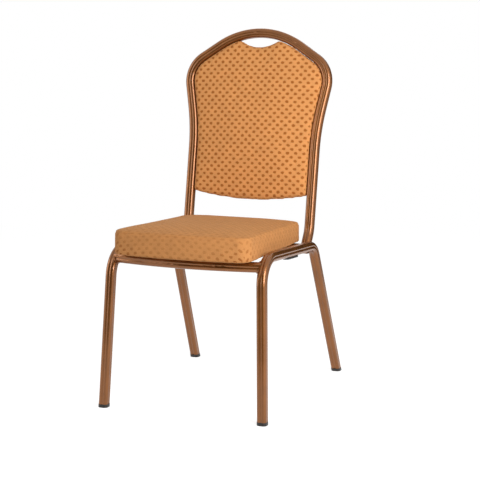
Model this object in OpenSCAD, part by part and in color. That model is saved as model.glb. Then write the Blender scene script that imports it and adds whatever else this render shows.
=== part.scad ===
// Stacking chair with a bell-shaped upholstered back, a boxed seat cushion and
// a welded frame of fluted square aluminium tube. All lengths are millimetres,
// all angles degrees. Z = 0 is the floor, +X is the sitter's left when facing
// the chair from the front, and the sitter faces -Y.

/* [Frame tube] */
// Outside size of the fluted square tube
tube_size = 24.5; // [22:0.5:27]
// Wall of the tube
tube_wall = 2; // [1.5:0.1:2.5]
// Radius of the tube's rounded corners
tube_corner = 8.5; // [6:0.5:9.5]
// Width of the shallow flute along the middle of each face
flute_width = 6.5; // [4:0.5:8]
// Depth of that flute
flute_depth = 0.9; // [0.4:0.1:1.1]

/* [Side frames] */
// Distance between the left and right foot centres on the floor
foot_spread = 423; // [410:1:450]
// Inward lean of each side frame, from upright
side_lean = 2.1; // [1:0.1:3]
// Distance from the front foot centre to the rear foot centre
foot_base = 562; // [540:1:580]
// How far the front corner stands behind the front foot
front_corner_back = 30; // [20:1:40]
// Height of the front corner of the tube's axis
front_corner_height = 393.5; // [385:0.5:405]
// How far the rear corner stands behind the front foot
rear_corner_back = 393; // [385:1:400]
// Height of the rear corner of the tube's axis
rear_corner_height = 371.5; // [366:0.5:380]
// Bend radius of the front corner, on the tube's axis
front_bend = 66; // [56:1:72]
// Bend radius of the rear corner, on the tube's axis
rear_bend = 50; // [42:1:60]

/* [Cross rails] */
// Distance of the cross rails' top below the corner of the side frames' front legs
rail_drop = 8.5; // [3.5:0.5:11.5]
// Backward slope of the seat base
base_slope = 1; // [0.5:0.1:1.5]
// Distance of the front rail's ends behind the front foot
front_rail_back = 41; // [36:1:50]
// How far the middle of the front rail is bowed forward of its ends
front_rail_bow = 22; // [15:1:34]
// Distance of the rear rail behind the front foot
rear_rail_back = 366; // [355:1:370]

/* [Back hoop] */
// Height of the top of the hoop above the floor
overall_height = 927; // [905:1:950]
// Backward lean of the hoop, from upright
hoop_lean = 10.65; // [9:0.05:12]
// Distance of the hoop's plane behind the front foot, at rear corner height
hoop_back = 428; // [424:0.5:434]
// Half of the hoop's width at the shoulders, on the tube's axis
shoulder_half = 195.5; // [190:0.5:200]
// Radius of the shoulders
shoulder_radius = 75; // [65:1:85]
// Radius of the hollow waist below the shoulders
waist_radius = 600; // [500:10:700]
// Outward flare between waist and shoulders
flare = 10.5; // [9:0.25:11.5]
// Steepness of the slanted upper sides, from upright
slant = 56.5; // [54:0.5:59]
// Radius of the top of the hoop
crown_radius = 205; // [190:1:220]
// Forward bend at the hoop's lower ends
heel_angle = 25; // [20:1:30]
// Radius of that bend
heel_radius = 75; // [60:1:90]
// Height at which that bend starts, on the tube's axis
heel_height = 419; // [414:1:426]
// Height at which the hoop's lower ends are cut off
heel_end_height = 358; // [352:1:362]
// Gap between the hoop's lower ends and the side frames, filled by the welds
weld_gap = 0.3; // [0.1:0.1:0.5]

/* [Welds] */
// Leg length of the weld beads
weld_size = 2.5; // [1.5:0.5:4]
// Gap between a weld bead and the tubes
weld_fit = 0.1; // [0.05:0.05:0.2]

/* [Back pad] */
// Height of the middle of the pad's lower edge
pad_bottom_height = 476; // [465:1:490]
// Radius of the pad's curved lower edge
pad_bottom_radius = 760; // [600:10:1000]
// Distance of the handle scoop's lowest point below the top of the hoop
scoop_drop = 51; // [45:1:59]
// Radius of the handle's scoop
scoop_radius = 92; // [80:1:110]
// Gap between the pad and the hoop
pad_gap = 0.5; // [0.4:0.1:2]
// How far the pad's front face stands out past its front edge
front_crown = 12; // [4:0.5:18]
// How far the pad's rear face stands out past its rear edge
rear_crown = 3; // [1:0.5:6]
// Depth of the front cushion at its edge, from the tabs
front_edge_depth = 15; // [14.5:0.5:18]
// Depth of the rear panel at its edge, from the tabs
rear_edge_depth = 11.5; // [11:0.5:13]
// Thickness of the front plywood board
front_board = 6; // [5:0.5:6.5]
// Thickness of the rear plywood board
rear_board = 4; // [3:0.5:4.5]

/* [Seat cushion] */
// Distance of the cushion's foremost edge ahead of the front foot
seat_overhang = 32; // [24:1:38]
// Distance of the cushion's rear edge behind the front foot
seat_back = 394; // [386:1:398]
// Half of the cushion's width near the front
seat_front_half = 179; // [172:0.5:183]
// Half of the cushion's width at the rear
seat_rear_half = 168; // [160:0.5:174]
// Radius of the cushion's front edge in plan
seat_front_radius = 900; // [500:10:1400]
// Radius of the front corners in plan
seat_front_corner = 36; // [28:1:50]
// Radius of the rear corners in plan
seat_rear_corner = 27; // [20:1:34]
// Thickness of the cushion at its front edge, hem to top seam
seat_thickness = 61; // [50:1:70]
// How much thinner the cushion is at its rear edge
seat_taper = 9; // [0:0.5:12]
// How far the middle of the top stands above the top seam
seat_crown = 9; // [2:0.5:14]
// Radius of the cushion's upper edge
seat_edge = 7; // [4:0.5:12]
// Thickness of the plywood seat board
seat_board_thickness = 12; // [9:0.5:15]

/* [Covers] */
// Thickness of the upholstery fabric with its wadding
cover = 1.2; // [0.8:0.1:2]
// Clearance between a cover and the foam or board in it
cover_gap = 0.3; // [0.2:0.05:0.5]
// Width of the fabric turned under the seat board
hem_width = 46; // [40:1:55]
// Width of the fabric turned behind the back boards
back_hem_width = 5; // [3:0.5:8]

/* [Tabs and fasteners] */
// Thickness of the welded tabs
tab_thickness = 3; // [2:0.5:4]
// Width of the welded tabs
tab_width = 30; // [24:1:36]
// Reach of the seat tabs past the cross rails
seat_tab_reach = 30; // [26:1:36]
// Reach of the back tabs inside the hoop
back_tab_reach = 24; // [20:1:30]
// Half of the distance between the left and right seat screws
seat_screw_half = 110; // [80:1:130]
// Shank diameter of the seat screws
seat_screw = 6; // [5:0.5:8]
// Shank diameter of the back screws
back_screw = 4; // [3:0.5:5]
// Clearance round a screw's shank
screw_gap = 0.25; // [0.1:0.05:0.5]
// Width of the back tabs
back_tab_width = 24; // [18:1:30]
// Distance of the lowest back screws above the pad's lower edge
back_screw_inset = 51; // [40:1:65]
// Distance of the push-in clips from the back tabs
clip_shift = 34; // [25:1:45]
// Shank diameter of the push-in clips
clip_shank = 6; // [5:0.5:8]

/* [Feet and bumpers] */
// Visible height of the glides under the legs
glide_height = 8; // [5:0.5:12]
// How far a glide stands out past the tube all round
glide_rim = 0.5; // [0:0.1:1.5]
// Length of the plug that holds a glide in its leg
glide_plug = 28; // [18:1:40]
// Clearance of the plug in the tube
plug_gap = 0.2; // [0.1:0.05:0.4]
// Length of the stacking bumpers under the side rails
bumper_length = 80; // [60:1:100]
// Thickness of the stacking bumpers
bumper_thickness = 4; // [3:0.5:6]
// Distance of the bumpers' middle behind the front foot
bumper_back = 226; // [200:1:240]
// Shank diameter of the bumper rivets
rivet = 4; // [3:0.5:5]
// Distance between the two rivets of a bumper
rivet_pitch = 50; // [40:1:56]

/* [Hidden] */
$fn = 48;
half = tube_size / 2;
bore = tube_size - 2 * tube_wall;
flute_radius = (flute_width * flute_width / 4 + flute_depth * flute_depth) / (2 * flute_depth);
foot_half = foot_spread / 2;
rail_top_height = front_corner_height - rail_drop;
// How far a cutting form reaches past the surface that it cuts
pierce = 1;
// Room round the heads of screws, nuts, clips and rivets
head_room = 1;
// How far a screw, pin or barrel stops short of the end of its hole
end_room = 1;
// Gap between the turned-under hem and the dust cover
dust_gap = 1.7;

// ---- Side frame geometry, as [distance back, height] up its leaning plane ----
front_foot = [0, 0];
front_corner = [front_corner_back, front_corner_height / cos(side_lean)];
rear_corner = [rear_corner_back, rear_corner_height / cos(side_lean)];
rear_foot = [foot_base, 0];

// Direction from p to q, as an angle from upright towards the back
function heading(p, q) = atan2(q[0] - p[0], q[1] - p[1]);
// Length that a bend of radius r through angle a takes off each side of its corner
function setback(r, a) = r * tan(a / 2);

front_leg_lean = heading(front_foot, front_corner);
rail_heading = heading(front_corner, rear_corner);
rear_leg_heading = heading(rear_corner, rear_foot);
front_turn = rail_heading - front_leg_lean;
rear_turn = rear_leg_heading - rail_heading;
// How far a leg is drawn past the floor before it is cut off
leg_overrun = 30;
// Length and height of the faint ring that a bending clamp leaves
mark_length = 0.6;
mark_depth = 0.04;
front_leg_length = norm(front_corner - front_foot) - setback(front_bend, front_turn);
side_rail_length = norm(rear_corner - front_corner)
    - setback(front_bend, front_turn) - setback(rear_bend, rear_turn);
rear_leg_length = norm(rear_foot - rear_corner) - setback(rear_bend, rear_turn);

// ---- Hoop geometry, as [across, up the slope] in its leaning plane ----
// The plane meets the floor at hoop_foot behind the front foot
hoop_foot = hoop_back - rear_corner_height * tan(hoop_lean);
tube_rise = (half - tube_corner) * (cos(hoop_lean) + sin(hoop_lean)) + tube_corner;
hoop_top = (overall_height - tube_rise) / cos(hoop_lean);
crown_centre = [0, hoop_top - crown_radius];
// Where the side frame's inner face is, at height z
function inner_face(z) = foot_half - z * tan(side_lean) - half / cos(side_lean);
heel_start = heel_height / cos(hoop_lean);
upright_half = inner_face(heel_end_height) - weld_gap - half;
shoulder_centre_x = shoulder_half - shoulder_radius;
shoulder_centre_y = (crown_centre[1] * sin(slant) + crown_radius - shoulder_radius
    - shoulder_centre_x * cos(slant)) / sin(slant);
shoulder_centre = [shoulder_centre_x, shoulder_centre_y];
waist_start = ((upright_half + waist_radius) * cos(flare) - waist_radius
    - shoulder_centre_x * cos(flare) + shoulder_centre_y * sin(flare) - shoulder_radius)
    / sin(flare);
waist_centre = [upright_half + waist_radius, waist_start];
slant_length = (shoulder_centre - crown_centre) * [sin(slant), -cos(slant)];
flare_length = (shoulder_centre - waist_centre) * [sin(flare), cos(flare)];
heel_end_length = heel_height - heel_end_height + tube_size;

// ---- Placement ----
glide_reach = (half + glide_rim) / cos(180 - rear_leg_heading);
depth_middle = (foot_base + glide_reach - seat_overhang) / 2;

// Puts the chair's middle over the origin
module placed() {
    translate([0, -depth_middle, 0]) children();
}

// The leaning plane of the hoop: x across, y up the slope, z towards the front
module hoop_plane() {
    placed() translate([0, hoop_foot, 0]) rotate([90 - hoop_lean, 0, 0]) children();
}

// The sloping top plane of the cross rails: y back from above the front foot
module base_plane() {
    placed() translate([0, 0, rail_top_height]) rotate([-base_slope, 0, 0]) children();
}

// ---- Tube section and the moves of a tube bender ----
// Growth of the tube's section, and whether it is a plain bar, for forms that fit round a tube
$growth = 0;
$plain = false;

module rounded_square(size, r) {
    square([size, size - 2 * r], center = true);
    square([size - 2 * r, size], center = true);
    for (x = [-1, 1], y = [-1, 1]) translate([x, y] * (size / 2 - r)) circle(r);
}

// The tube's section, or one thicker by extra on every surface
module tube_section(extra = 0) {
    difference() {
        rounded_square(tube_size + 2 * (extra + $growth), tube_corner + extra + $growth);
        if (!$plain) {
            rounded_square(bore - 2 * extra, tube_corner - tube_wall - extra);
            for (a = [0:90:270]) rotate(a)
                translate([half + flute_radius - flute_depth, 0]) circle(flute_radius - extra);
        }
    }
}

// Tubes drawn as plain bars that are thicker by growth all round
module sheathed(growth) {
    $growth = growth;
    $plain = true;
    children();
}

// The faint ring that the bending clamp leaves where a bend begins or ends
module clamp_mark() {
    translate([0, 0, -mark_length / 2]) linear_extrude(mark_length) tube_section(mark_depth);
}

// A straight length along +Z, with what follows at its far end
module run(length) {
    translate([0, 0, mark_depth]) linear_extrude(length - 2 * mark_depth) tube_section();
    translate([0, 0, length]) children();
}

// A bend from +Z towards +X, with what follows at its far end
module bend(radius, angle) {
    clamp_mark();
    translate([radius, 0, 0]) rotate([90, 0, 180])
        rotate_extrude(angle = angle, $fn = 96) translate([radius, 0]) tube_section();
    translate([radius, 0, 0]) rotate([0, angle, 0]) translate([-radius, 0, 0]) {
        clamp_mark();
        children();
    }
}

// Turns the direction in which the next bend goes
module twist(angle) {
    rotate([0, 0, angle]) children();
}

// ---- Side frames ----
// The leaning plane of the right side frame, with +X to the back
module side_plane() {
    placed() translate([foot_half, 0, 0]) rotate([0, -side_lean, 0]) rotate([0, 0, 90])
        children();
}

module side_tube() {
    rotate([0, front_leg_lean, 0]) translate([0, 0, -leg_overrun])
        run(front_leg_length + leg_overrun) bend(front_bend, front_turn)
        run(side_rail_length) bend(rear_bend, rear_turn)
        run(rear_leg_length + leg_overrun);
}

module below(z) {
    reach = 2 * foot_base;
    translate([-reach / 2, -reach / 2, z - reach]) cube(reach);
}

module above(z) {
    reach = 2 * foot_base;
    translate([-reach / 2, -reach / 2, z]) cube(reach);
}

// The middle of the bumper on the underside of the side rail, +Z outwards
module bumper_seat() {
    side_plane() translate([bumper_back, 0, front_corner[1]
        - (bumper_back - front_corner[0]) * tan(rail_heading - 90)])
        rotate([0, rail_heading - 90, 0]) translate([0, 0, -half]) rotate([180, 0, 0]) children();
}

module rivet_places() {
    for (x = [-1, 1]) translate([x * rivet_pitch / 2, 0, 0]) children();
}

module right_side_frame() {
    color("#6b4229") difference() {
        side_plane() side_tube();
        below(glide_height);
        bumper_seat() rivet_places()
            translate([0, 0, -tube_wall - pierce]) cylinder(d = rivet, h = tube_wall + 2 * pierce);
    }
}

module left_side_frame() {
    mirror([1, 0, 0]) right_side_frame();
}

// ---- Back hoop ----
module hoop_heel() {
    hoop_plane() translate([upright_half, heel_start, 0]) rotate([90, 0, 0]) twist(90)
        bend(heel_radius, heel_angle) run(heel_end_length);
}

module half_hoop() {
    hoop_plane() translate([0, hoop_top, 0]) rotate([0, 90, 0]) twist(-90)
        bend(crown_radius, 90 - slant) run(slant_length)
        bend(shoulder_radius, slant + flare) run(flare_length) twist(180)
        bend(waist_radius, flare) run(waist_start - heel_start);
    hoop_heel();
}

module back_hoop() {
    color("#6b4229") difference() {
        union() {
            half_hoop();
            mirror([1, 0, 0]) half_hoop();
        }
        below(heel_end_height);
    }
}

// ---- Cross rails and the tabs that carry the seat ----
// The space between the side frames' inner faces and the round corners beside them
module between_side_frames() {
    low = inner_face(0) + tube_corner;
    high = inner_face(front_corner_height) + tube_corner;
    placed() rotate([90, 0, 0]) linear_extrude(2 * foot_base, center = true)
        polygon([[-low, 0], [low, 0], [high, front_corner_height], [-high, front_corner_height]]);
}

// The side frames as plain bars, that the ends of the cross rails are cut to fit
module side_bars(growth) {
    for (side = [0, 1]) mirror([side, 0, 0]) sheathed(growth) side_plane() side_tube();
}

rail_half = inner_face(rail_top_height);
front_rail_radius = (rail_half * rail_half + front_rail_bow * front_rail_bow) / (2 * front_rail_bow);
front_rail_sweep = asin((rail_half + half) / front_rail_radius);
front_rail_centre = front_rail_back - front_rail_bow + front_rail_radius;

module front_rail_tube() {
    base_plane() translate([0, front_rail_centre, -half]) rotate([0, 0, -90 - front_rail_sweep])
        rotate_extrude(angle = 2 * front_rail_sweep, $fn = 240)
            translate([front_rail_radius, 0]) tube_section();
}

module rear_rail_tube() {
    base_plane() translate([0, rear_rail_back, -half]) rotate([0, 90, 0])
        linear_extrude(2 * (rail_half + half), center = true) tube_section();
}

// A cross rail, its ends cut to fit the round sides of the side frames
module coped() {
    color("#6b4229") difference() {
        intersection() {
            children();
            between_side_frames();
        }
        side_bars(weld_fit);
    }
}

module front_rail() coped() front_rail_tube();
module rear_rail() coped() rear_rail_tube();

// ---- Weld beads, in the corners round the places where tubes meet the side frames ----
module welded_tubes() {
    front_rail_tube();
    rear_rail_tube();
    intersection() {
        hoop_heel();
        above(heel_end_height);
    }
}

module right_welds() {
    difference() {
        intersection() {
            sheathed(weld_size) welded_tubes();
            sheathed(weld_size) side_plane() side_tube();
            between_side_frames();
        }
        sheathed(weld_fit) welded_tubes();
        sheathed(weld_fit) side_plane() side_tube();
    }
}

module frame_welds() {
    color("#6b4229") {
        right_welds();
        mirror([1, 0, 0]) right_welds();
    }
}

// Where the front rail's axis is, at x from its middle
function front_rail_at(x) = front_rail_centre - sqrt(front_rail_radius * front_rail_radius - x * x);
front_screw_y = front_rail_at(seat_screw_half) + half + seat_tab_reach / 2;
rear_screw_y = rear_rail_back - half - seat_tab_reach / 2;

// The four seat screw places on the rails' top plane
module seat_screw_places() {
    base_plane() for (x = [-1, 1], y = [front_screw_y, rear_screw_y])
        translate([x * seat_screw_half, y, 0]) children();
}

// A tab from the middle of its rail to past its screw
module seat_tab(rail_y, screw_y) {
    from = min(rail_y, screw_y - seat_tab_reach / 2);
    to = max(rail_y, screw_y + seat_tab_reach / 2);
    translate([0, (from + to) / 2, tab_thickness / 2])
        cube([tab_width, to - from, tab_thickness], center = true);
}

module seat_tabs() {
    color("#5d3a25") difference() {
        base_plane() for (x = [-1, 1]) translate([x * seat_screw_half, 0, 0]) {
            seat_tab(front_rail_at(seat_screw_half), front_screw_y);
            seat_tab(rear_rail_back, rear_screw_y);
        }
        seat_screw_places() translate([0, 0, -pierce])
            cylinder(d = seat_screw + 2 * screw_gap, h = tab_thickness + 2 * pierce);
    }
}

// ---- Outlines and the pillow forms made from them ----
// Points on an arc round c from angle a to angle b, in n steps
function arc(c, r, a, b, n) = [for (i = [0:n]) let(t = a + (b - a) * i / n) c + r * [cos(t), sin(t)]];
function mirrored(points) = [for (i = [len(points) - 1:-1:0]) [-points[i][0], points[i][1]]];
function shrunk(points, c, f) = [for (p = points) c + (p - c) * f];
function raised(points, h) = [for (p = points) [p[0], p[1], h]];

// A closed form through rings of equal length, from the lowest to the highest
module pillow(rings) {
    n = len(rings[0]);
    last = len(rings) - 1;
    polyhedron(
        points = [for (r = rings) each r],
        faces = concat(
            [[for (i = [0:n - 1]) i]],
            [for (k = [0:last - 1], i = [0:n - 1])
                [k * n + i, (k + 1) * n + i, (k + 1) * n + (i + 1) % n]],
            [for (k = [0:last - 1], i = [0:n - 1])
                [k * n + i, (k + 1) * n + (i + 1) % n, k * n + (i + 1) % n]],
            [[for (i = [n - 1:-1:0]) last * n + i]]
        )
    );
}

// ---- Seat outline, seen from above: x across, y back ----
seat_front = -seat_overhang;
seat_centre = [0, (seat_front + seat_back) / 2];
// Side line from the front half width to the rear half width
side_taper = atan((seat_front_half - seat_rear_half) / (seat_back - seat_front));

// Right half of the outline, e inside the cushion's edge, from the front to the rear
function seat_half(e) =
    let(
        front_r = seat_front_radius - e,
        front_c = [0, seat_front + seat_front_radius],
        corner_r = seat_front_corner - e,
        corner_x = seat_front_half - seat_front_corner,
        reach = seat_front_radius - seat_front_corner,
        corner_y = front_c[1] - sqrt(reach * reach - corner_x * corner_x),
        turn = asin(corner_x / reach),
        rear_r = seat_rear_corner - e,
        rear_c = [seat_rear_half - seat_rear_corner, seat_back - seat_rear_corner]
    )
    concat(
        arc(front_c, front_r, -90 + turn / 4, -90 + turn, 3),
        arc([corner_x, corner_y], corner_r, -90 + turn + 10, side_taper, 7),
        arc(rear_c, rear_r, side_taper, 90, 6)
    );
function seat_outline(e) = concat([[0, seat_front + e]], seat_half(e), mirrored(seat_half(e)));

// One ring of the cushion at height h above its hem, lower towards the rear
function seat_ring(points, h) = [for (p = points)
    [p[0], p[1], h * (1 - seat_taper / seat_thickness * (p[1] - seat_front) / (seat_back - seat_front))]];
function seat_top(e, f, h) = seat_ring(shrunk(seat_outline(e), seat_centre, f), h);

// The cushion's form, inset by e all round, from height low up
function seat_rings(e, low) =
    let(top = seat_thickness - e, rim = seat_edge)
    concat(
        [raised(seat_outline(e), low)],
        [for (a = [0:30:60]) seat_top(e + rim * (1 - cos(a)), 1, top - rim + rim * sin(a))],
        [for (f = [1, 0.93, 0.82, 0.65, 0.45, 0.2])
            seat_top(e + rim, f, top + seat_crown * (1 - pow(f, 4)))]
    );

hem_level = tab_thickness;
board_level = hem_level + cover;
foam_level = board_level + seat_board_thickness;
board_inset = cover + cover_gap;
// Share of the outline that the turned-under hem leaves open
hem_share = 1 - hem_width / seat_rear_half;
// Share of the outline that the dust cover fills
dust_share = hem_share - dust_gap / seat_rear_half;

module seat_board() {
    color("#c8a878") difference() {
        base_plane() translate([0, 0, board_level]) linear_extrude(seat_board_thickness)
            polygon(seat_outline(board_inset));
        seat_screw_places() translate([0, 0, board_level - pierce])
            cylinder(d = nut_barrel, h = seat_board_thickness + 2 * pierce);
    }
}

module seat_foam() {
    color("#e8d9a8") difference() {
        base_plane() translate([0, 0, hem_level]) pillow(seat_rings(board_inset, foam_level - hem_level));
        seat_screw_places() translate([0, 0, foam_level - head_room])
            cylinder(d = nut_flange + 2 * head_room, h = nut_flange_thickness + 2 * head_room, $fn = 24);
    }
}

module seat_cover() {
    color("#c98a4e") difference() {
        base_plane() translate([0, 0, hem_level]) pillow(seat_rings(0, 0));
        base_plane() translate([0, 0, hem_level]) pillow(seat_rings(cover, cover));
        base_plane() translate([0, 0, hem_level - pierce]) linear_extrude(cover + 2 * pierce)
            polygon(shrunk(seat_outline(0), seat_centre, hem_share));
        seat_screw_places() cylinder(d = seat_screw + 2 * screw_gap, h = board_level + pierce, $fn = 24);
    }
}

module seat_dust_cover() {
    color("#26241f") difference() {
        base_plane() translate([0, 0, hem_level]) linear_extrude(cover)
            polygon(shrunk(seat_outline(0), seat_centre, dust_share));
        seat_screw_places() cylinder(d = seat_screw + 2 * screw_gap, h = board_level + pierce, $fn = 24);
    }
}

// ---- Seat screws and tee nuts ----
screw_head = 2 * seat_screw;
screw_head_height = seat_screw / 2;
nut_barrel = 1.5 * seat_screw;
nut_flange = 3 * seat_screw;
nut_flange_thickness = 1.5;

module seat_screws() {
    color("#8f8f92") seat_screw_places() {
        translate([0, 0, -screw_head_height]) cylinder(d = screw_head, h = screw_head_height);
        cylinder(d = seat_screw, h = foam_level - end_room);
    }
}

module seat_tee_nuts() {
    color("#b9b9bd") seat_screw_places() difference() {
        union() {
            translate([0, 0, board_level + end_room])
                cylinder(d = nut_barrel, h = seat_board_thickness - end_room);
            translate([0, 0, foam_level]) cylinder(d = nut_flange, h = nut_flange_thickness);
        }
        cylinder(d = seat_screw, h = foam_level + nut_flange_thickness + pierce);
    }
}

// ---- Back pad outline, in the hoop's plane ----
pad_bottom = pad_bottom_height / cos(hoop_lean);
scoop_low = (overall_height - scoop_drop) / cos(hoop_lean);
scoop_centre = [0, scoop_low + scoop_radius];
pad_bottom_centre = [0, pad_bottom + pad_bottom_radius];
// Half width of the overlap of a circle of radius r at the origin and one of radius q, d above it
function crossing(r, q, d) = let(y = (d * d + r * r - q * q) / (2 * d)) [sqrt(r * r - y * y), y];

// Right half of the pad's outline, d inside the hoop's axis and e inside the other edges
function pad_half(d, e) =
    let(
        side = upright_half - d,
        foot = pad_bottom_centre[1] - sqrt(pow(pad_bottom_radius - e, 2) - side * side),
        rise = scoop_centre[1] - crown_centre[1],
        ear = crown_centre + crossing(crown_radius - d, scoop_radius + e, rise),
        ear_angle = atan2(ear[1] - crown_centre[1], ear[0]),
        scoop_angle = atan2(ear[1] - scoop_centre[1], ear[0]),
        foot_angle = atan2(foot - pad_bottom_centre[1], side)
    )
    concat(
        arc(pad_bottom_centre, pad_bottom_radius - e, -90 + (foot_angle + 90) / 4, foot_angle, 3),
        arc(waist_centre, waist_radius + d, 180, 180 - flare, 6),
        arc(shoulder_centre, shoulder_radius - d, -flare, slant, 6),
        arc(crown_centre, crown_radius - d, slant, ear_angle, 3),
        arc(scoop_centre, scoop_radius + e, scoop_angle, -90 + (scoop_angle + 90) / 5, 4)
    );
function pad_outline(d, e) = concat([[0, pad_bottom + e]], pad_half(d, e),
    [[0, scoop_low - e]], mirrored(pad_half(d, e)));
pad_centre = [0, (pad_bottom + scoop_low) / 2];
pad_edge = half + pad_gap;

// A pad's form from height low up, inset by e all round, depth deep at its rim
function pad_rings(e, low, depth, crown, rim) =
    concat(
        [raised(pad_outline(pad_edge + e, e), low)],
        [for (a = [0:30:60]) let(i = e + rim * (1 - cos(a)))
            raised(pad_outline(pad_edge + i, i), depth - e - rim + rim * sin(a))],
        [for (f = [1, 0.92, 0.8, 0.6, 0.3])
            raised(shrunk(pad_outline(pad_edge + e + rim, e + rim), pad_centre, f),
                depth - e + crown * (1 - f * f))]
    );

front_rim = 5;
rear_rim = 3.5;
tab_face = tab_thickness / 2;
front_foam_level = cover + front_board;
rear_foam_level = cover + rear_board;

// The front cushion stands on the tabs' front faces, and the rear panel on their rear faces
module front_side() {
    hoop_plane() translate([0, 0, tab_face]) children();
}

module rear_side() {
    hoop_plane() mirror([0, 0, 1]) translate([0, 0, tab_face]) children();
}

// A fabric cover over a pad, turned in behind it
module pad_cover(depth, crown, rim) {
    difference() {
        pillow(pad_rings(0, 0, depth, crown, rim));
        pillow(pad_rings(cover, cover, depth, crown, rim));
        translate([0, 0, -pierce]) linear_extrude(cover + 2 * pierce)
            polygon(pad_outline(pad_edge + back_hem_width, back_hem_width));
    }
}

module pad_board(thickness) {
    translate([0, 0, cover]) linear_extrude(thickness)
        polygon(pad_outline(pad_edge + board_inset, board_inset));
}

// ---- Tabs on the hoop's inner side, with a screw in each ----
// The flute's floor, where a tab's edge meets it
tab_seat = half + flute_radius - flute_depth - sqrt(flute_radius * flute_radius - tab_face * tab_face);
// Half width between the hoop's axes at height v up its plane
function hoop_half(v) =
    v < waist_start ? upright_half
    : v < waist_start + waist_radius * sin(flare)
        ? waist_centre[0] - sqrt(waist_radius * waist_radius - pow(v - waist_start, 2))
    : v < shoulder_centre[1] - shoulder_radius * sin(flare)
        ? waist_centre[0] - waist_radius * cos(flare)
            + (v - waist_start - waist_radius * sin(flare)) * tan(flare)
    : shoulder_centre[0] + sqrt(shoulder_radius * shoulder_radius - pow(v - shoulder_centre[1], 2));

// Heights up the hoop's plane of the rows of back screws, from near the pad's foot to the shoulders
first_row = pad_bottom + back_screw_inset;
last_row = shoulder_centre[1];
back_rows = [first_row, (first_row + last_row) / 2, last_row];
// The places of the back screws, on both sides of the pad
module back_screw_places() {
    for (x = [-1, 1], v = back_rows)
        translate([x * (hoop_half(v) - half - back_tab_reach / 2), v, 0]) children();
}

module back_tabs() {
    color("#5d3a25") hoop_plane() difference() {
        translate([0, 0, -tab_face]) linear_extrude(tab_thickness) intersection() {
            back_screw_places() square([2 * back_tab_reach, back_tab_width], center = true);
            polygon(pad_outline(tab_seat, 0));
            difference() {
                polygon(pad_outline(tab_seat, 0));
                polygon(pad_outline(half + back_tab_reach, back_tab_reach));
            }
        }
        back_screw_places() cylinder(d = back_screw + 2 * screw_gap, h = 2 * tab_thickness, center = true);
    }
}

back_head = 2 * back_screw;
back_head_height = back_screw / 2;

module back_screws() {
    color("#8f8f92") hoop_plane() back_screw_places() {
        translate([0, 0, -tab_face - back_head_height]) cylinder(d = back_head, h = back_head_height);
        translate([0, 0, -tab_face])
            cylinder(d = back_screw, h = tab_thickness + front_foam_level - end_room);
    }
}

// ---- Push-in clips that hold the rear panel to the front board ----
clip_head = 14;
clip_head_height = 1.5;
module clip_places() {
    for (x = [-1, 1], v = back_rows)
        translate([x * (hoop_half(v) - half - back_tab_reach - clip_shift), v, 0]) children();
}

module back_clips() {
    color("#2c2a28") hoop_plane() clip_places() {
        translate([0, 0, -tab_face - rear_foam_level - clip_head_height])
            cylinder(d = clip_head, h = clip_head_height);
        translate([0, 0, -tab_face - rear_foam_level])
            cylinder(d = clip_shank, h = rear_foam_level + tab_thickness + front_foam_level - end_room);
    }
}

// ---- Back cushion and rear panel ----
module back_front_board() {
    color("#c8a878") difference() {
        front_side() pad_board(front_board);
        hoop_plane() back_screw_places() cylinder(d = back_screw, h = front_edge_depth);
        hoop_plane() clip_places() cylinder(d = clip_shank, h = front_edge_depth);
    }
}

module back_front_foam() {
    color("#e8d9a8") front_side()
        pillow(pad_rings(board_inset, front_foam_level, front_edge_depth, front_crown, front_rim));
}

module back_front_cover() {
    color("#d18c50") front_side() pad_cover(front_edge_depth, front_crown, front_rim);
}

module back_rear_board() {
    color("#c8a878") difference() {
        rear_side() pad_board(rear_board);
        hoop_plane() back_screw_places() rotate([180, 0, 0])
            cylinder(d = back_head + 2 * head_room, h = rear_edge_depth);
        hoop_plane() clip_places() rotate([180, 0, 0]) cylinder(d = clip_shank, h = rear_edge_depth);
    }
}

module back_rear_foam() {
    color("#e8d9a8") difference() {
        rear_side() pillow(pad_rings(board_inset, rear_foam_level, rear_edge_depth, rear_crown, rear_rim));
        hoop_plane() clip_places()
            translate([0, 0, -tab_face - rear_foam_level - clip_head_height - head_room])
            cylinder(d = clip_head + 2 * head_room, h = clip_head_height + 2 * head_room, $fn = 24);
    }
}

module back_rear_cover() {
    color("#d18c50") rear_side() pad_cover(rear_edge_depth, rear_crown, rear_rim);
}

// ---- Glides ----
module leg_axis(rear) {
    side_plane() translate([rear ? foot_base : 0, 0, 0])
        rotate([0, rear ? rear_leg_heading - 180 : front_leg_lean, 0]) children();
}

module glide(rear) {
    color("#1f1d1b") {
        difference() {
            leg_axis(rear) translate([0, 0, -leg_overrun]) linear_extrude(2 * leg_overrun)
                rounded_square(tube_size + 2 * glide_rim, tube_corner + glide_rim);
            below(0);
            above(glide_height);
        }
        difference() {
            leg_axis(rear) linear_extrude(glide_plug)
                rounded_square(bore - 2 * plug_gap, tube_corner - tube_wall - plug_gap);
            below(glide_height / 2);
        }
    }
}

module front_right_glide() glide(false);
module rear_right_glide() glide(true);
module front_left_glide() mirror([1, 0, 0]) glide(false);
module rear_left_glide() mirror([1, 0, 0]) glide(true);

// ---- Stacking bumpers ----
bumper_width = 16;
rivet_head = 2 * rivet;
rivet_head_height = 1.2;
rivet_bulb = 1.5 * rivet;

module bumper() {
    color("#1f1d1b") bumper_seat() difference() {
        linear_extrude(bumper_thickness) {
            square([bumper_length - bumper_width, bumper_width], center = true);
            for (x = [-1, 1]) translate([x * (bumper_length - bumper_width) / 2, 0])
                circle(d = bumper_width);
        }
        rivet_places() translate([0, 0, -pierce]) cylinder(d = rivet, h = bumper_thickness + 2 * pierce);
        rivet_places() translate([0, 0, bumper_thickness - 2 * rivet_head_height])
            cylinder(d = rivet_head + 2 * head_room, h = 2 * rivet_head_height + pierce);
    }
}

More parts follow.
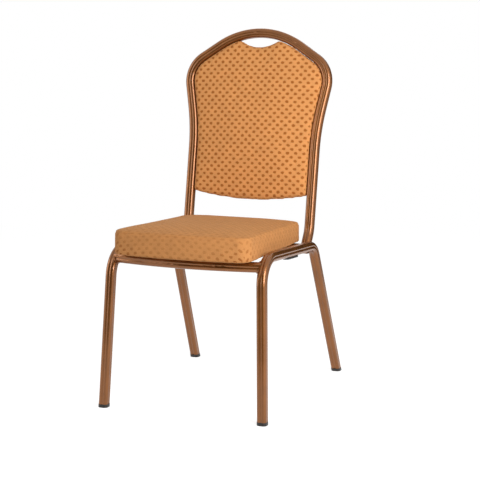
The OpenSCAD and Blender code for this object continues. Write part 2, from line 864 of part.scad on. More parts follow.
module right_bumper() bumper();
module left_bumper() mirror([1, 0, 0]) bumper();

module side_rivets() {
    bumper_seat() rivet_places() {
        translate([0, 0, bumper_thickness - 2 * rivet_head_height])
            cylinder(d = rivet_head, h = rivet_head_height);
        translate([0, 0, -tube_wall - rivet])
            cylinder(d = rivet, h = tube_wall + rivet + bumper_thickness - 2 * rivet_head_height);
        translate([0, 0, -tube_wall - rivet]) cylinder(d = rivet_bulb, h = rivet);
    }
}

module bumper_rivets() {
    color("#a9a9ad") {
        side_rivets();
        mirror([1, 0, 0]) side_rivets();
    }
}

left_side_frame();
right_side_frame();
back_hoop();
front_rail();
rear_rail();
frame_welds();
seat_tabs();
back_tabs();
seat_board();
seat_foam();
seat_cover();
seat_dust_cover();
seat_screws();
seat_tee_nuts();
back_front_board();
back_front_foam();
back_front_cover();
back_rear_board();
back_rear_foam();
back_rear_cover();
back_screws();
back_clips();
front_left_glide();
front_right_glide();
rear_left_glide();
rear_right_glide();
left_bumper();
right_bumper();
bumper_rivets();
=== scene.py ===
"""Dresses the stacking chair: bronze-coated frame, dotted woven upholstery, fittings and studio."""

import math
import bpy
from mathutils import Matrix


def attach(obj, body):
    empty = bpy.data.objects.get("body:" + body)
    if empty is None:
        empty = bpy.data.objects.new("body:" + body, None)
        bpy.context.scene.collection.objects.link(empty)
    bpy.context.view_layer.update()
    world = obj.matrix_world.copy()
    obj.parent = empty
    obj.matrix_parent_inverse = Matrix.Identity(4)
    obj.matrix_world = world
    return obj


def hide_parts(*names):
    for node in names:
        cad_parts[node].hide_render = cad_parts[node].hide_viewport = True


bl_info = {
    "name": "Stacking Chair",
    "version": (1, 0, 0),
    "blender": (4, 5, 0),
    "location": "3D View > Sidebar > Chair",
    "description": "Upholsters and finishes a banquet stacking chair and sets it in a studio",
    "category": "Object",
}

import bmesh
import bpy
from mathutils import Matrix, Vector
from mathutils.bvhtree import BVHTree

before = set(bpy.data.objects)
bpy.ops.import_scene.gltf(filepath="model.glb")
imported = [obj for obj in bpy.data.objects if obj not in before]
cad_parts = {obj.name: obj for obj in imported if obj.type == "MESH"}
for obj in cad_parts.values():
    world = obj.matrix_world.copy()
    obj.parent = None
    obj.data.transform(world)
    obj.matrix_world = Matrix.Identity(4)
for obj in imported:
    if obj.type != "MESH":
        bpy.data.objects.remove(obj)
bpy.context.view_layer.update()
MM = 0.001

# How far the zero of the seat's depths lies in front of the chair's middle
DEPTH_MIDDLE = 272.004 * MM
RAIL_TOP = 385 * MM
BASE_SLOPE = math.radians(1)
# Where the hoop's plane meets the floor, and how far it leans back
HOOP_FOOT = 358.14 * MM
HOOP_LEAN = math.radians(10.65)


def tilted_plane(depth, height, angle):
    """The frame of a plane at a depth and a height, turned about the chair's width."""
    return Matrix.Translation((0, depth, height)) @ Matrix.Rotation(angle, 4, "X")


# Where the upholstered parts lie: the rails' sloping top plane, and the hoop's leaning plane
SEAT_PLANE = tilted_plane(-DEPTH_MIDDLE, RAIL_TOP, -BASE_SLOPE)
BACK_PLANE = tilted_plane(HOOP_FOOT - DEPTH_MIDDLE, 0, math.pi / 2 - HOOP_LEAN)


def linear(code):
    """An sRGB hex colour as linear RGB."""
    channels = [int(code[i : i + 2], 16) / 255 for i in (1, 3, 5)]
    return tuple(c / 12.92 if c <= 0.04045 else ((c + 0.055) / 1.055) ** 2.4 for c in channels)


def add_node(tree, kind, links=None, **settings):
    """Adds a node with its settings, and fills its inputs with values or other nodes' outputs."""
    made = tree.nodes.new(kind)
    for name, value in settings.items():
        setattr(made, name, value)
    for key, value in (links or {}).items():
        if isinstance(value, bpy.types.NodeSocket):
            tree.links.new(value, made.inputs[key])
        else:
            made.inputs[key].default_value = value
    return made


def new_material(name):
    """An empty node material and its tree."""
    material = bpy.data.materials.new(name)
    material.use_nodes = True
    material.node_tree.nodes.clear()
    return material, material.node_tree


def finish_material(tree, shader):
    """Joins a shader to the material's output."""
    add_node(tree, "ShaderNodeOutputMaterial", {"Surface": shader.outputs[0]})


def assign(material, *nodes):
    """Gives a finish to CAD nodes."""
    for name in nodes:
        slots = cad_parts[name].data.materials
        slots.clear()
        slots.append(material)


# ---- User settings ----
class ChairSizes(bpy.types.PropertyGroup):
    """Sizes of the soft parts and of the pattern."""

    weave_pitch: bpy.props.FloatProperty(
        name="Yarn Pitch",
        description="Distance between neighbouring yarns of the cloth",
        default=1.5 * MM,
        min=0.3 * MM,
        max=4 * MM,
        unit="LENGTH",
    )
    dot_pitch: bpy.props.FloatVectorProperty(
        name="Dot Pitch",
        description="Distance between dots of one row, and between alternate rows",
        default=(21.4 * MM, 20.75 * MM),
        size=2,
        unit="LENGTH",
    )
    dot_size: bpy.props.FloatVectorProperty(
        name="Dot Size",
        description="Width and height of a woven dot",
        default=(9.4 * MM, 7.4 * MM),
        size=2,
        unit="LENGTH",
    )
    voxel: bpy.props.FloatProperty(
        name="Cushion Mesh",
        description="Mesh size at which the cushions are simulated",
        default=4 * MM,
        min=3 * MM,
        max=12 * MM,
        unit="LENGTH",
    )
    seat_swell: bpy.props.FloatProperty(
        name="Seat Fullness",
        description="How far the seat's foam pushes its cover out at most",
        default=5 * MM,
        min=0,
        max=20 * MM,
        unit="LENGTH",
    )
    back_swell: bpy.props.FloatProperty(
        name="Back Fullness",
        description="How far the back's foam pushes its cover out at most",
        default=4 * MM,
        min=0,
        max=20 * MM,
        unit="LENGTH",
    )


class ChairColours(bpy.types.PropertyGroup):
    """Colours of the finishes."""

    cloth: bpy.props.FloatVectorProperty(
        name="Cloth",
        description="Ground colour of the upholstery",
        default=linear("#e09a5a"),
        subtype="COLOR",
        size=3,
    )
    dots: bpy.props.FloatVectorProperty(
        name="Dots",
        description="Colour of the woven dots",
        default=linear("#a1561a"),
        subtype="COLOR",
        size=3,
    )
    coating: bpy.props.FloatVectorProperty(
        name="Frame Coating",
        description="Colour of the bronze powder coat",
        default=linear("#855020"),
        subtype="COLOR",
        size=3,
    )
    plastic: bpy.props.FloatVectorProperty(
        name="Glides and Bumpers",
        description="Colour of the moulded feet and bumpers",
        default=linear("#1f1c1a"),
        subtype="COLOR",
        size=3,
    )


# ---- Materials ----
# Height of a row of dots above the foot of the cloth's pattern
FIRST_ROW = 8.2 * MM
# Middle of the seat on its cloth, round which the dots fade as painted sheen
SEAT_MIDDLE = (0, 181 * MM, 0)
# Span over which a woven dot's outline wanders
DOT_WANDER = (4 * MM, 4 * MM, 0)


def bronze_powder_coat(colour):
    """Gloss powder coat with fine metal flake, sprayed and baked on aluminium tube."""
    # The eye sees a warm brown with a soft metallic depth, long pale highlights along
    # the tube's corners and flutes, and a faint orange peel in the gloss
    material, tree = new_material("bronze_powder_coat")
    place = add_node(tree, "ShaderNodeTexCoord").outputs["Object"]
    # Flake about 0.6 mm across, drawn coarser than the real 0.05 mm so that it shows
    flake = add_node(tree, "ShaderNodeTexVoronoi", {"Vector": place, "Scale": 1 / (0.6 * MM)})
    # The coat's depth drifts over about 60 mm
    drift = add_node(
        tree, "ShaderNodeTexNoise", {"Vector": place, "Scale": 1 / (60 * MM), "Detail": 2.0}
    )
    shade = add_node(
        tree,
        "ShaderNodeMapRange",
        {
            "Value": drift.outputs["Fac"],
            "From Min": 0.3,
            "From Max": 0.7,
            "To Min": 0.88,
            "To Max": 1.12,
        },
    )
    sparkle = add_node(
        tree,
        "ShaderNodeMapRange",
        {
            "Value": flake.outputs["Distance"],
            "From Min": 0.0,
            "From Max": 0.8,
            "To Min": 1.12,
            "To Max": 0.94,
        },
    )
    level = add_node(
        tree,
        "ShaderNodeMath",
        {0: shade.outputs["Result"], 1: sparkle.outputs["Result"]},
        operation="MULTIPLY",
    )
    tint = add_node(
        tree,
        "ShaderNodeVectorMath",
        {0: colour, "Scale": level.outputs[0]},
        operation="SCALE",
    )
    # Orange peel with a period of about 3 mm
    peel = add_node(
        tree, "ShaderNodeTexNoise", {"Vector": place, "Scale": 1 / (3 * MM), "Detail": 1.0}
    )
    bump = add_node(
        tree,
        "ShaderNodeBump",
        {"Height": peel.outputs["Fac"], "Strength": 0.12, "Distance": 0.05 * MM},
    )
    rough = add_node(
        tree,
        "ShaderNodeMapRange",
        {"Value": drift.outputs["Fac"], "To Min": 0.26, "To Max": 0.38},
    )
    shader = add_node(
        tree,
        "ShaderNodeBsdfPrincipled",
        {
            "Base Color": tint.outputs[0],
            "Metallic": 0.7,
            "Roughness": rough.outputs["Result"],
            "Normal": bump.outputs["Normal"],
            "Coat Weight": 0.55,
            "Coat Roughness": 0.13,
        },
    )
    finish_material(tree, shader)
    return material


def dotted_upholstery(name, sizes, colours, painted_lightness, clear, sheen_washed):
    """Flat-woven polyester upholstery with small darker dots woven in half-drop rows.

    Its lightness is scaled by a factor, which on the seat is painted shade. The dots show by the
    share clear near the seat's corners and by a smaller share in its middle, where they fade as
    painted sheen.
    """
    # The eye sees a matte orange-tan cloth, small soft-edged brown dots, the yarns' weave and a
    # slight cloudiness where the nap lies differently. The yarns' crests are painted lighter and
    # the hollows between them darker, which is painted shade, and the seat's dots fade towards its
    # middle as painted sheen
    material, tree = new_material(name)
    place = add_node(tree, "ShaderNodeUVMap", uv_map="cloth").outputs["UV"]
    # Dots: the distance to the nearest point of two interleaved grids, in units of a dot
    pitch = (sizes.dot_pitch[0], sizes.dot_pitch[1], 1)
    radii = (sizes.dot_size[0] / 2, sizes.dot_size[1] / 2, 1)
    wobble = add_node(
        tree, "ShaderNodeTexNoise", {"Vector": place, "Scale": 1 / (5 * MM), "Detail": 1.0}
    )
    spread = add_node(
        tree,
        "ShaderNodeVectorMath",
        {0: wobble.outputs["Color"], 1: (0.5, 0.5, 0.5)},
        operation="SUBTRACT",
    )
    shaken = add_node(
        tree,
        "ShaderNodeVectorMath",
        {0: spread.outputs[0], 1: DOT_WANDER, 2: place},
        operation="MULTIPLY_ADD",
    )
    centred_rows = add_node(
        tree,
        "ShaderNodeVectorMath",
        {0: shaken.outputs[0], 1: (0, FIRST_ROW, 0)},
        operation="SUBTRACT",
    )
    cells = add_node(
        tree,
        "ShaderNodeVectorMath",
        {0: centred_rows.outputs[0], 1: pitch},
        operation="DIVIDE",
    )
    distances = []
    for shift in ((0.5, 0.5, 0), (0, 0, 0)):
        moved = add_node(
            tree, "ShaderNodeVectorMath", {0: cells.outputs[0], 1: shift}, operation="ADD"
        )
        inside = add_node(
            tree, "ShaderNodeVectorMath", {0: moved.outputs[0]}, operation="FRACTION"
        )
        centred = add_node(
            tree,
            "ShaderNodeVectorMath",
            {0: inside.outputs[0], 1: (0.5, 0.5, 0)},
            operation="SUBTRACT",
        )
        scaled = add_node(
            tree,
            "ShaderNodeVectorMath",
            {0: centred.outputs[0], 1: (pitch[0] / radii[0], pitch[1] / radii[1], 0)},
            operation="MULTIPLY",
        )
        length = add_node(
            tree, "ShaderNodeVectorMath", {0: scaled.outputs[0]}, operation="LENGTH"
        )
        distances.append(length.outputs["Value"])
    nearest = add_node(
        tree, "ShaderNodeMath", {0: distances[0], 1: distances[1]}, operation="MINIMUM"
    )
    sharp = add_node(
        tree,
        "ShaderNodeMapRange",
        {
            "Value": nearest.outputs[0],
            "From Min": 0.65,
            "From Max": 1.25,
            "To Min": 1.0,
            "To Max": 0.0,
        },
        interpolation_type="SMOOTHSTEP",
    )
    # Painted sheen: the dots come back between 250 and 300 mm from the seat's middle
    away = add_node(
        tree, "ShaderNodeVectorMath", {0: place, 1: SEAT_MIDDLE}, operation="DISTANCE"
    )
    visible = add_node(
        tree,
        "ShaderNodeMapRange",
        {
            "Value": away.outputs["Value"],
            "From Min": 0.25,
            "From Max": 0.3,
            "To Min": sheen_washed,
            "To Max": clear,
        },
        interpolation_type="SMOOTHSTEP",
    )
    dot = add_node(
        tree,
        "ShaderNodeMath",
        {0: sharp.outputs["Result"], 1: visible.outputs["Result"]},
        operation="MULTIPLY",
    )
    # Weave: yarns crossing at the pitch, drawn coarser than the real 0.5 mm so that they show
    yarns = add_node(
        tree,
        "ShaderNodeVectorMath",
        {0: place, "Scale": 2 * math.pi / sizes.weave_pitch},
        operation="SCALE",
    )
    waves = add_node(tree, "ShaderNodeVectorMath", {0: yarns.outputs[0]}, operation="SINE")
    parts = add_node(tree, "ShaderNodeSeparateXYZ", {0: waves.outputs[0]})
    weave = add_node(
        tree,
        "ShaderNodeMath",
        {0: parts.outputs[0], 1: parts.outputs[1]},
        operation="MULTIPLY",
    )
    # Cloudiness with a period of about 25 mm, and yarn-to-yarn variation of about 2 mm
    cloud = add_node(
        tree, "ShaderNodeTexNoise", {"Vector": place, "Scale": 1 / (25 * MM), "Detail": 3.0}
    )
    fleck = add_node(
        tree, "ShaderNodeTexNoise", {"Vector": place, "Scale": 1 / (2 * MM), "Detail": 2.0}
    )
    # The lightness scale, lower for the seat than for the back, is painted shade
    light = add_node(
        tree,
        "ShaderNodeMapRange",
        {
            "Value": cloud.outputs["Fac"],
            "From Min": 0.3,
            "From Max": 0.7,
            "To Min": 0.94 * painted_lightness,
            "To Max": 1.06 * painted_lightness,
        },
    )
    grain = add_node(
        tree,
        "ShaderNodeMapRange",
        {
            "Value": fleck.outputs["Fac"],
            "From Min": 0.3,
            "From Max": 0.7,
            "To Min": 0.92,
            "To Max": 1.08,
        },
    )
    mottle = add_node(
        tree,
        "ShaderNodeMath",
        {0: light.outputs["Result"], 1: grain.outputs["Result"]},
        operation="MULTIPLY",
    )
    # The weave lightens the cloth on the yarns' crests and darkens it between them: painted shade
    yarn_shade_and_mottle = add_node(
        tree,
        "ShaderNodeMath",
        {0: weave.outputs[0], 1: 0.05, 2: mottle.outputs[0]},
        operation="MULTIPLY_ADD",
    )
    mixed = add_node(
        tree,
        "ShaderNodeMix",
        {"Factor": dot.outputs[0], 6: (*colours.cloth, 1), 7: (*colours.dots, 1)},
        data_type="RGBA",
    )
    tint = add_node(
        tree,
        "ShaderNodeVectorMath",
        {0: mixed.outputs[2], "Scale": yarn_shade_and_mottle.outputs[0]},
        operation="SCALE",
    )
    # The dots are woven tighter and lie slightly lower than the ground
    height = add_node(
        tree,
        "ShaderNodeMath",
        {0: dot.outputs[0], 1: -0.9, 2: weave.outputs[0]},
        operation="MULTIPLY_ADD",
    )
    bump = add_node(
        tree,
        "ShaderNodeBump",
        {"Height": height.outputs[0], "Strength": 0.35, "Distance": 0.25 * MM},
    )
    shader = add_node(
        tree,
        "ShaderNodeBsdfPrincipled",
        {
            "Base Color": tint.outputs[0],
            "Roughness": 0.88,
            "Specular IOR Level": 0.25,
            "Sheen Weight": 0.2,
            "Sheen Roughness": 0.45,
            "Sheen Tint": (*linear("#f3c592"), 1),
            "Normal": bump.outputs["Normal"],
        },
    )
    finish_material(tree, shader)
    return material


def moulded_polymer(name, colour, rough, grain):
    """Injection-moulded nylon or rubber with a fine spark-eroded texture."""
    # The eye sees a near-black satin surface, broken by the mould's grain and paler
    # where handling has polished it
    material, tree = new_material(name)
    place = add_node(tree, "ShaderNodeTexCoord").outputs["Object"]
    texture = add_node(
        tree, "ShaderNodeTexNoise", {"Vector": place, "Scale": 1 / grain, "Detail": 2.0}
    )
    # Polished patches about 14 mm across
    wear = add_node(
        tree, "ShaderNodeTexNoise", {"Vector": place, "Scale": 1 / (14 * MM), "Detail": 3.0}
    )
    shade = add_node(
        tree,
        "ShaderNodeMapRange",
        {
            "Value": wear.outputs["Fac"],
            "From Min": 0.35,
            "From Max": 0.7,
            "To Min": 0.85,
            "To Max": 1.35,
        },
    )
    tint = add_node(
        tree,
        "ShaderNodeVectorMath",
        {0: colour, "Scale": shade.outputs["Result"]},
        operation="SCALE",
    )
    bump = add_node(
        tree,
        "ShaderNodeBump",
        {"Height": texture.outputs["Fac"], "Strength": 0.3, "Distance": 0.1 * MM},
    )
    dull = add_node(
        tree,
        "ShaderNodeMapRange",
        {"Value": wear.outputs["Fac"], "To Min": rough + 0.08, "To Max": rough - 0.08},
    )
    shader = add_node(
        tree,
        "ShaderNodeBsdfPrincipled",
        {
            "Base Color": tint.outputs[0],
            "Roughness": dull.outputs["Result"],
            "Normal": bump.outputs["Normal"],
        },
    )
    finish_material(tree, shader)
    return material


def zinc_plated_steel():
    """Cold-headed steel, electroplated with bright zinc."""
    # The eye sees a cool grey metal with a slightly clouded shine
    material, tree = new_material("zinc_plated_steel")
    place = add_node(tree, "ShaderNodeTexCoord").outputs["Object"]
    # Clouds about 4 mm across
    cloud = add_node(
        tree, "ShaderNodeTexNoise", {"Vector": place, "Scale": 1 / (4 * MM), "Detail": 3.0}
    )
    rough = add_node(
        tree,
        "ShaderNodeMapRange",
        {"Value": cloud.outputs["Fac"], "To Min": 0.22, "To Max": 0.42},
    )
    tint = add_node(
        tree,
        "ShaderNodeMix",
        {
            "Factor": cloud.outputs["Fac"],
            6: (*linear("#9c9fa4"), 1),
            7: (*linear("#c3c2bd"), 1),
        },
        data_type="RGBA",
    )
    shader = add_node(
        tree,
        "ShaderNodeBsdfPrincipled",
        {"Base Color": tint.outputs[2], "Metallic": 1.0, "Roughness": rough.outputs["Result"]},
    )
    finish_material(tree, shader)
    return material


def birch_plywood():
    """Rotary-cut birch plywood, sanded and left raw."""
    # The eye sees a pale yellow face with faint wandering grain lines
    material, tree = new_material("birch_plywood")
    place = add_node(tree, "ShaderNodeTexCoord").outputs["Object"]
    # Grain lines about 6 mm apart across the sheet, and ten times as long along it
    stretched = add_node(tree, "ShaderNodeMapping", {"Vector": place, "Scale": (12, 1.2, 12)})
    grain = add_node(
        tree,
        "ShaderNodeTexNoise",
        {"Vector": stretched.outputs[0], "Scale": 14.0, "Detail": 4.0, "Distortion": 0.6},
    )
    tint = add_node(
        tree,
        "ShaderNodeMix",
        {
            "Factor": grain.outputs["Fac"],
            6: (*linear("#d9bd8e"), 1),
            7: (*linear("#b38f5e"), 1),
        },
        data_type="RGBA",
    )
    bump = add_node(
        tree,
        "ShaderNodeBump",
        {"Height": grain.outputs["Fac"], "Strength": 0.15, "Distance": 0.1 * MM},
    )
    shader = add_node(
        tree,
        "ShaderNodeBsdfPrincipled",
        {"Base Color": tint.outputs[2], "Roughness": 0.7, "Normal": bump.outputs["Normal"]},
    )
    finish_material(tree, shader)
    return material


def moulded_foam():
    """Cold-cured polyurethane foam with a fine open cell."""
    # The eye sees a dull cream surface pitted by pores, each painted darker towards its middle
    # where the bump sinks it, which is painted shade
    material, tree = new_material("moulded_foam")
    place = add_node(tree, "ShaderNodeTexCoord").outputs["Object"]
    # Pores about 1.2 mm across, drawn coarser than the real 0.4 mm so that they show
    cells = add_node(tree, "ShaderNodeTexVoronoi", {"Vector": place, "Scale": 1 / (1.2 * MM)})
    tint = add_node(
        tree,
        "ShaderNodeMix",
        {
            "Factor": cells.outputs["Distance"],
            6: (*linear("#cdb983"), 1),
            7: (*linear("#eadcae"), 1),
        },
        data_type="RGBA",
    )
    bump = add_node(
        tree, "ShaderNodeBump", {"Height": cells.outputs["Distance"], "Distance": 0.3 * MM}
    )
    shader = add_node(
        tree,
        "ShaderNodeBsdfPrincipled",
        {"Base Color": tint.outputs[2], "Roughness": 0.95, "Normal": bump.outputs["Normal"]},
    )
    finish_material(tree, shader)
    return material


def spunbonded_lining():
    """Spunbonded polypropylene dust lining, point-bonded in a small diamond grid."""
    # The eye sees a thin black cloth with a regular pinprick emboss
    material, tree = new_material("spunbonded_lining")
    place = add_node(tree, "ShaderNodeTexCoord").outputs["Object"]
    # Bond points 2.5 mm apart
    turned = add_node(
        tree, "ShaderNodeMapping", {"Vector": place, "Rotation": (0, 0, math.pi / 4)}
    )
    points = add_node(
        tree,
        "ShaderNodeTexVoronoi",
        {"Vector": turned.outputs[0], "Scale": 1 / (2.5 * MM), "Randomness": 0.1},
    )
    # Bundles of fibres 1.5 mm across, drawn coarser than the real 0.02 mm so that they show
    fibres = add_node(
        tree, "ShaderNodeTexNoise", {"Vector": place, "Scale": 1 / (1.5 * MM), "Detail": 4.0}
    )
    tint = add_node(
        tree,
        "ShaderNodeMix",
        {
            "Factor": fibres.outputs["Fac"],
            6: (*linear("#171614"), 1),
            7: (*linear("#33302c"), 1),
        },
        data_type="RGBA",
    )
    bump = add_node(
        tree, "ShaderNodeBump", {"Height": points.outputs["Distance"], "Distance": 0.2 * MM}
    )
    shader = add_node(
        tree,
        "ShaderNodeBsdfPrincipled",
        {"Base Color": tint.outputs[2], "Roughness": 0.8, "Normal": bump.outputs["Normal"]},
    )
    finish_material(tree, shader)
    return material


# ---- Soft parts ----
# Gaps that are closed in a CAD mesh, and in a skin whose corner is drawn together
CAD_MERGE = 0.02 * MM
SKIN_MERGE = 0.3 * MM
# A skin is grown by this towards its cover, and laid onto it wherever that is within reach
COVER_GROWTH = 1.3 * MM
COVER_REACH = 2.5 * MM
# A face is part of a cover's side when its normal rises less than this
SIDE_RISE = 0.3
# Rounds of smoothing for a new skin, for the seat's edges and for the back cushion's edges
SKIN_SMOOTHING = 2
SEAT_SOFTENING = 2
BACK_SOFTENING = 14
# The foam's push on its cloth, and the number of frames for which it pushes
FOAM_PRESSURE = 4
CLOTH_FRAMES = 20
SEAM_DEPTH = 1.5 * MM
SEAM_REACH = 2.5 * MM


def joined_copy(plane, *nodes):
    """A merged bmesh of CAD nodes, in the plane's own frame."""
    form = bmesh.new()
    for name in nodes:
        form.from_mesh(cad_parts[name].data)
    bmesh.ops.remove_doubles(form, verts=form.verts, dist=CAD_MERGE)
    bmesh.ops.transform(form, matrix=plane.inverted(), verts=form.verts)
    return form


def new_object(name, form):
    """Puts a bmesh into the scene as an object at the origin."""
    mesh = bpy.data.meshes.new(name)
    form.to_mesh(mesh)
    piece = bpy.data.objects.new(name, mesh)
    bpy.context.scene.collection.objects.link(piece)
    return piece


def place_object(name, form, plane):
    """Turns a bmesh from the plane's frame into an object at the origin, and frees the bmesh."""
    bmesh.ops.transform(form, matrix=plane, verts=form.verts)
    piece = new_object(name, form)
    form.free()
    return piece


def baked(piece):
    """A piece's mesh with its modifiers applied."""
    bpy.context.view_layer.update()
    finished = piece.evaluated_get(bpy.context.evaluated_depsgraph_get())
    return bpy.data.meshes.new_from_object(finished)


def smooth(form, verts, rounds):
    """Evens out the vertices in a number of rounds."""
    for _ in range(rounds):
        bmesh.ops.smooth_vert(
            form, verts=verts, factor=0.5, use_axis_x=True, use_axis_y=True, use_axis_z=True
        )


def remeshed(form, voxel):
    """The bmesh as one even skin of quads, smoothed and laid back on the form's own surface."""
    surface = BVHTree.FromBMesh(form)
    blank = new_object("blank", form)
    form.free()
    remesh = blank.modifiers.new("Remesh", "REMESH")
    remesh.mode = "VOXEL"
    remesh.voxel_size = voxel
    skin = bmesh.new()
    skin.from_mesh(baked(blank))
    bpy.data.objects.remove(blank)
    smooth(skin, skin.verts, SKIN_SMOOTHING)
    for vert in skin.verts:
        vert.co = surface.find_nearest(vert.co)[0]
    return skin


def inflated(form, held, swell):
    """Cloth pressed out from inside, held where the test says, moving at most swell."""
    filling = new_object("filling", form)
    mesh = filling.data
    pins = filling.vertex_groups.new(name="held")
    pins.add([v.index for v in mesh.vertices if held(v.co)], 1.0, "REPLACE")
    cloth = filling.modifiers.new("Cloth", "CLOTH")
    cloth.settings.vertex_group_mass = "held"
    cloth.settings.use_pressure = True
    cloth.settings.uniform_pressure_force = FOAM_PRESSURE
    cloth.settings.effector_weights.gravity = 0
    cloth.collision_settings.use_collision = False
    scene = bpy.context.scene
    scene.frame_start, scene.frame_end = 1, CLOTH_FRAMES
    for number in range(1, CLOTH_FRAMES + 1):
        scene.frame_set(number)
    after = baked(filling)
    moves = [b.co - a.co for a, b in zip(mesh.vertices, after.vertices)]
    largest = max(m.length for m in moves)
    if largest > 0:
        form.verts.ensure_lookup_table()
        for vert, move in zip(form.verts, moves):
            vert.co += move * min(1, swell / largest)
    bpy.data.objects.remove(filling)
    scene.frame_set(1)
    return form


def wrap_cloth(piece, plane, edge):
    """Lays a UV map in metres over a pad, flat on its face and folded down its sides.

    The edge gives the height above the plane from which the cloth is folded down.
    """
    mesh = piece.data
    back = plane.inverted()
    turn = back.to_3x3()
    cloth = mesh.uv_layers.new(name="cloth")
    for face in mesh.polygons:
        normal = turn @ face.normal
        side = max(range(3), key=lambda axis: abs(normal[axis]))
        for loop in face.loop_indices:
            point = back @ mesh.vertices[mesh.loops[loop].vertex_index].co
            fold = max(0, edge(point) - abs(point.z)) * (side != 2)
            across = point.x + math.copysign(fold, normal.x) * (side == 0)
            up = point.y + math.copysign(fold, normal.y) * (side == 1)
            cloth.data[loop].uv = (across, up)


def covered(form, cover):
    """Grows a skin onto the outside of its cover, out to where the hem turns under the board.

    Faces that the cover leaves bare get the second material.
    """
    surface = BVHTree.FromBMesh(cover)
    middle = sum((v.co for v in cover.verts), Vector()) / len(cover.verts)
    hem = min((v.co.z for v in cover.verts), key=abs)
    sides = [f for f in cover.faces if abs(f.normal.z) < SIDE_RISE]
    outer = [f for f in sides if (f.calc_center_median() - middle).xy.dot(f.normal.xy) > 0]
    walls = BVHTree.FromPolygons(
        [v.co for v in cover.verts], [[v.index for v in f.verts] for f in outer]
    )
    cover.free()
    normals = [v.normal.copy() for v in form.verts]
    for vert, normal in zip(form.verts, normals):
        vert.co += normal * COVER_GROWTH
        nearest = surface.find_nearest(vert.co, COVER_REACH)[0]
        # Where the hem leaves the board bare, the skin is the board's own face
        vert.co = nearest or vert.co - normal * COVER_GROWTH
        if not nearest:
            for face in vert.link_faces:
                face.material_index = 1
        wall = walls.find_nearest(vert.co, COVER_REACH)[0]
        if wall and abs(vert.co.z - hem) < COVER_REACH:
            vert.co = (wall.x, wall.y, hem)
    bmesh.ops.remove_doubles(form, verts=form.verts, dist=SKIN_MERGE)


def sewn(piece, plane, line):
    """Draws in the seam that runs round a pad's sides at the height that the line gives."""
    back = plane.inverted()
    sunk = []
    for vert in piece.data.vertices:
        point = back @ vert.co
        off = abs(point.z - line(point)) / SEAM_REACH
        if off < 1:
            sunk.append((vert, vert.normal * SEAM_DEPTH * (1 + math.cos(math.pi * off)) / 2))
    for vert, pull in sunk:
        vert.co -= pull


def pad(name, plane, replaced, held, swell, edge, cloth, softening=0):
    """One padded piece, which takes the place of a cover and of the foam and board inside it.

    Foam and board are remeshed as one skin, which is grown to the cover, inflated and dressed in
    cloth. The softening is the number of rounds in which what isn't held is smoothed, which
    rounds its edges.
    """
    cover, *filling = replaced
    settings = bpy.context.scene.chair_sizes
    form = remeshed(joined_copy(plane, *filling), settings.voxel)
    form.normal_update()
    covered(form, joined_copy(plane, cover))
    smooth(form, [v for v in form.verts if not held(v.co)], softening)
    form = inflated(form, held, swell)
    bmesh.ops.recalc_face_normals(form, faces=form.faces)
    piece = place_object(name, form, plane)
    for face in piece.data.polygons:
        face.use_smooth = True
    refine = piece.modifiers.new("Refine", "SUBSURF")
    refine.levels = refine.render_levels = 1
    piece.data = baked(piece)
    piece.modifiers.clear()
    wrap_cloth(piece, plane, edge)
    for material in (cloth, "birch_plywood"):
        piece.data.materials.append(bpy.data.materials[material])
    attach(piece, "root")
    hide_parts(*replaced)
    return piece


class CHAIR_OT_finishes(bpy.types.Operator):
    """Makes the materials and coats the frame and the hard fittings"""

    bl_idname = "chair.finishes"
    bl_label = "Frame and Fittings"

    def execute(self, context):
        colours = context.scene.chair_colours
        bronze = bronze_powder_coat(tuple(colours.coating))
        assign(
            bronze,
            "left_side_frame",
            "right_side_frame",
            "back_hoop",
            "front_rail",
            "rear_rail",
            "frame_welds",
            "seat_tabs",
            "back_tabs",
        )
        assign(
            moulded_polymer("moulded_nylon_glide", tuple(colours.plastic), 0.45, 0.8 * MM),
            "front_left_glide",
            "front_right_glide",
            "rear_left_glide",
            "rear_right_glide",
        )
        assign(
            moulded_polymer("moulded_rubber_bumper", tuple(colours.plastic), 0.65, 1.2 * MM),
            "left_bumper",
            "right_bumper",
        )
        assign(
            moulded_polymer("moulded_nylon_clip", linear("#2c2a28"), 0.5, 0.8 * MM), "back_clips"
        )
        assign(zinc_plated_steel(), "seat_screws", "seat_tee_nuts", "back_screws", "bumper_rivets")
        assign(birch_plywood(), "seat_board", "back_front_board", "back_rear_board")
        assign(moulded_foam(), "seat_foam", "back_front_foam", "back_rear_foam")
        assign(spunbonded_lining(), "seat_dust_cover")
        sizes = context.scene.chair_sizes
        # The seat's cloth is a darker copy of the back's, which is painted shade, and its dots fade
        # as painted sheen
        dotted_upholstery("dotted_woven_back", sizes, colours, painted_lightness=1.0, clear=0.9, sheen_washed=0.9)
        dotted_upholstery("dotted_woven_seat", sizes, colours, painted_lightness=0.77, clear=0.8, sheen_washed=0.25)
        return {"FINISHED"}


# The seat in its own plane: its front and back, the hem's underside, and the top of the board,
# which is 12 mm thick and lies on 1.2 mm of turned-in cover
SEAT_FRONT = -32 * MM
SEAT_BACK = 394 * MM
SEAT_HEM = 3 * MM
SEAT_BOARD_TOP = SEAT_HEM + (1.2 + 12) * MM
# The side's height at the front, how much lower it is at the back, the roll of its upper edge,
# and the seam's place below that roll
SEAT_EDGE_HEIGHT = 61 * MM
SEAT_TAPER = 9 * MM
EDGE_ROLL = 2 * MM
SEAM_DROP = 4 * MM


def seat_edge(point):
    """Height at which the seat's top turns down its sides."""
    share = (point.y - SEAT_FRONT) / (SEAT_BACK - SEAT_FRONT)
    return SEAT_HEM + SEAT_EDGE_HEIGHT - SEAT_TAPER * share - EDGE_ROLL


